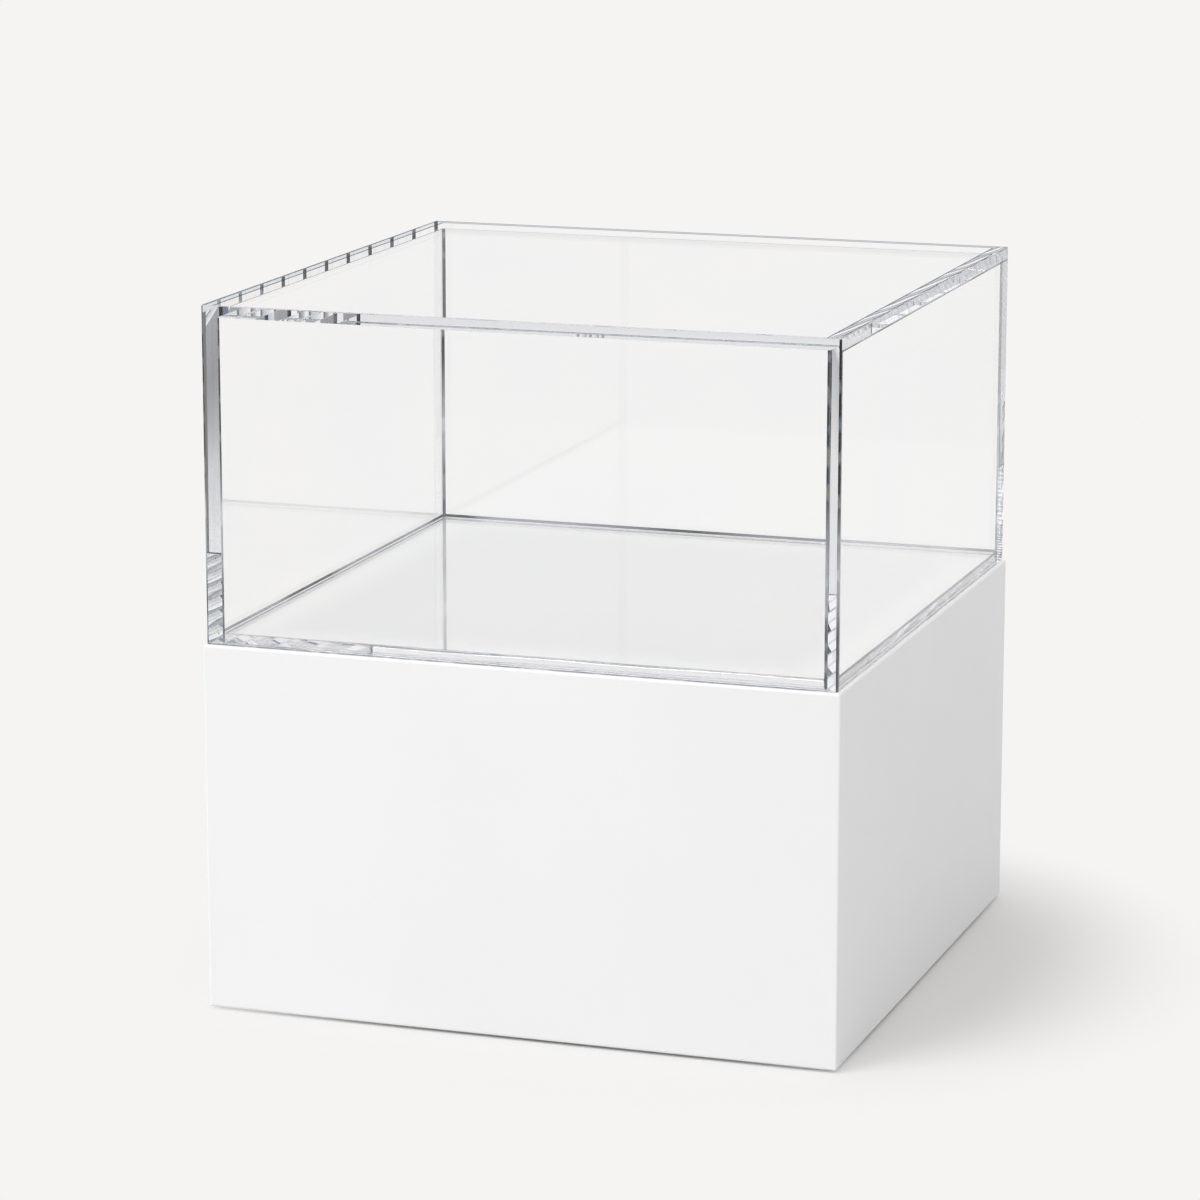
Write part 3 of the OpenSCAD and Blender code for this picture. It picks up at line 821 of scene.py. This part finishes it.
def studio_floor():
    """A flat pale square that spreads far past the view. Away from the case it is plain white."""
    signs = np.array([[-1, -1], [1, -1], [1, 1], [-1, 1]], float)
    points = np.concatenate([signs * FLOOR_HALF, np.zeros((4, 1))], axis=1)
    floor = new_piece("studio_floor", points, [[0, 1, 2, 3]])
    mat, tree, shader = material("studio_floor")
    path = node(tree, "LightPath")
    colour = blended(tree, path.outputs["Is Diffuse Ray"], (*NEAR_FLOOR, 1), (*BOUNCE_FLOOR, 1))
    feed(tree, shader, Base_Color=colour)
    shader.inputs["Roughness"].default_value = 1
    shader.inputs["Specular IOR Level"].default_value = 0
    place, axes = position(tree)
    moved = node(tree, "VectorMath", {0: place, 1: SHADOW_MIDDLE}, operation="ADD").outputs[0]
    distance = node(tree, "VectorMath", {0: moved}, operation="LENGTH").outputs["Value"]
    white = node(tree, "Emission", {"Color": (*WHITE, 1), "Strength": 1})
    share = maths(tree, "MULTIPLY", looked_at(tree, path), ramp(tree, distance, SHADOW_NEAR, SHADOW_FAR))
    near_or_far = node(tree, "MixShader", {"Fac": share, 1: shader.outputs[0], 2: white.outputs[0]})
    round_about = bearing(tree, axes)
    aside, far_off = striped(tree, round_about, FLOOR_STRIPES, bands(tree, round_about, SEEN_ON_FLOOR))
    near = blended(tree, maths(tree, "GREATER_THAN", aside, TOWARDS_FRONT), (*LIGHT, 1), (*GREY, 1))
    seen = blended(tree, ramp(tree, distance, FAR_START, FAR_END), near, far_off)
    panels = node(tree, "Emission", {"Color": seen, "Strength": 1})
    mix = node(tree, "MixShader", {
        "Fac": zigzag(tree, path), 1: near_or_far.outputs[0], 2: panels.outputs[0]})
    tree.links.new(mix.outputs[0], tree.nodes["Material Output"].inputs["Surface"])
    dress(floor, mat)


def studio_room():
    """An even pale sky lights the case. The camera sees plain white past the floor's edge, and glass
    sees a white horizon with a dark room over it."""
    world = bpy.data.worlds.new("studio")
    bpy.context.scene.world = world
    world.use_nodes = True
    tree = world.node_tree
    path = node(tree, "LightPath")
    axes = node(tree, "SeparateXYZ", {0: node(tree, "TexCoord").outputs["Generated"]}).outputs
    round_about = bearing(tree, axes)
    aside, panels = striped(tree, round_about, ROOM_STRIPES, bands(tree, round_about, SEEN_ABOVE))
    rise = maths(tree, "DIVIDE", maths(tree, "SUBTRACT", axes["Z"], SHADE_FOOT), SHADE_SPREAD)
    above = blended(tree, within(tree, aside, SHADED), panels, bands(tree, rise, SHADES))
    mixed = blended(tree, zigzag(tree, path), bands(tree, axes["Z"], ROOM_BY_HEIGHT), above)
    sky = tree.nodes["Background"]
    sky.inputs["Color"].default_value = (1, 1, 1, 1)
    sky.inputs["Strength"].default_value = SKY
    mirrored = node(tree, "Background", {"Color": mixed, "Strength": 1})
    white = node(tree, "Background", {"Color": (*WHITE, 1), "Strength": 1})
    sharp = node(tree, "MixShader", {
        "Fac": looked_at(tree, path), 1: sky.outputs[0], 2: mirrored.outputs[0]})
    seen = node(tree, "MixShader", {
        "Fac": path.outputs["Is Camera Ray"], 1: sharp.outputs[0], 2: white.outputs[0]})
    tree.links.new(seen.outputs[0], tree.nodes["World Output"].inputs["Surface"])


def studio_lamp(name, direction, strength, angle):
    """A wide soft lamp, far off in one direction."""
    lamp = bpy.data.lights.new(name, "SUN")
    lamp.energy = strength
    lamp.angle = math.radians(angle)
    holder = bpy.data.objects.new(name, lamp)
    holder.rotation_euler = Vector(direction).to_track_quat("Z", "Y").to_euler()
    bpy.context.scene.collection.objects.link(holder)


SENSOR_WIDTH, FOCAL_LENGTH = 36, 138.63
CAMERA_PLACE = (1.12685, -3.3766, 1.0654)
LOOKS_DOWN, LOOKS_LEFT = 0.2152, 0.3268   # angles from the level and from straight ahead
FARTHEST = 200                         # distance at which the camera stops seeing
INSIDE_SHEETS, AMONG_BOARDS, PLAINLY_CLEAR = 48, 6, 32   # bounces of light


def camera():
    """The photograph's viewpoint, fitted to the eleven corners that it shows."""
    lens = bpy.data.cameras.new("camera")
    lens.sensor_width = SENSOR_WIDTH
    lens.lens = FOCAL_LENGTH
    lens.clip_end = FARTHEST
    holder = bpy.data.objects.new("camera", lens)
    holder.location = CAMERA_PLACE
    holder.rotation_euler = Euler((math.pi / 2 - LOOKS_DOWN, 0, LOOKS_LEFT))
    bpy.context.scene.collection.objects.link(holder)
    bpy.context.scene.camera = holder


def render_settings():
    """Plain colours, and room for light to zigzag through the clear sheets."""
    scene = bpy.context.scene
    scene.view_settings.view_transform = "Standard"
    scene.cycles.max_bounces = INSIDE_SHEETS
    scene.cycles.transmission_bounces = INSIDE_SHEETS
    scene.cycles.glossy_bounces = INSIDE_SHEETS
    scene.cycles.diffuse_bounces = AMONG_BOARDS
    scene.cycles.transparent_max_bounces = PLAINLY_CLEAR
    scene.cycles.caustics_reflective = False
    scene.cycles.caustics_refractive = False
    scene.cycles.use_denoising = True


# ---- The whole ----

camera()
studio_floor()
studio_room()
studio_lamp("key", **KEY)
studio_lamp("fill", **FILL)
render_settings()

# Painted shade along the arrises and cement lines, dark with a pale painted highlight
ARRIS_PAINTED_SHADE = [
    (0.0, (0.02, 0.025, 0.04)), (0.50, (0.03, 0.04, 0.07)), (0.56, (0.10, 0.16, 0.30)),
    (0.62, (0.6, 0.55, 0.48)), (0.70, (0.02, 0.025, 0.04)),
]
# Painted shade: paler grey lines along the pale arrises
PALE_ARRIS_PAINTED_SHADE = [(0.0, (0.55, 0.56, 0.60)), (0.6, (0.65, 0.65, 0.68)), (0.7, (0.4, 0.42, 0.48))]
CLEAR = [                              # in the order of the material slots
    tinted_inside(clear_acrylic()),
    edge_with_painted_shade("polished_arris_painted_shade", ARRIS_PAINTED_SHADE, clearness=0.45),
    upright_edge_painted_shade(),
    sawn_acrylic(),
    edge_with_painted_shade("pale_arris_painted_shade", PALE_ARRIS_PAINTED_SHADE, clearness=0.8),
    clear_top(),
]
cover_shell(CLEAR)
floor_sheet(CLEAR)

STEEL = zinc_steel()
levelling_studs(STEEL)
UP = np.eye(3)
OUTWARD = np.array([[1, 0, 0], [0, 0, -1], [0, 1, 0]])
wood_screws("cross_head_batten_screws", "batten_screws", STEEL, BATTEN_LINE, BATTEN_FOOT, UP)
wood_screws("cross_head_rail_screws", "rail_screws", STEEL, RAIL_LINE, RAIL_MIDDLE, OUTWARD)

LACQUER = white_lacquer()
NYLON = dark_nylon()
GRAIN = 0.05                           # stretch of the wood's figure along its grain
ALONG = {"x": (GRAIN, 1, 1), "y": (1, GRAIN, 1), "z": (1, 1, GRAIN)}
WOODS = {axis: softwood("softwood_along_" + axis, stretch) for axis, stretch in ALONG.items()}
PLIES = {
    "x": plywood("plywood_along_x", (0, 1, 1)),
    "y": plywood("plywood_along_y", (1, 0, 1)),
    "z": plywood("plywood_along_z", (1, 1, 0)),
}


def finish_of(name):
    """The finish of a CAD node. Wood runs along its piece: upright at a corner, else along the side."""
    axis = "z" if name.startswith(("corner", "side")) else "x" if name.endswith(("front", "back")) else "y"
    if name.startswith("plinth"):
        return LACQUER
    if "tongue" in name:
        return PLIES[axis]
    if name.startswith("foot_pad"):
        return NYLON
    return WOODS[axis] if name.startswith(("corner_post", "top_batten", "bottom_rail")) else STEEL


for name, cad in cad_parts.items():
    dress(cad, finish_of(name))
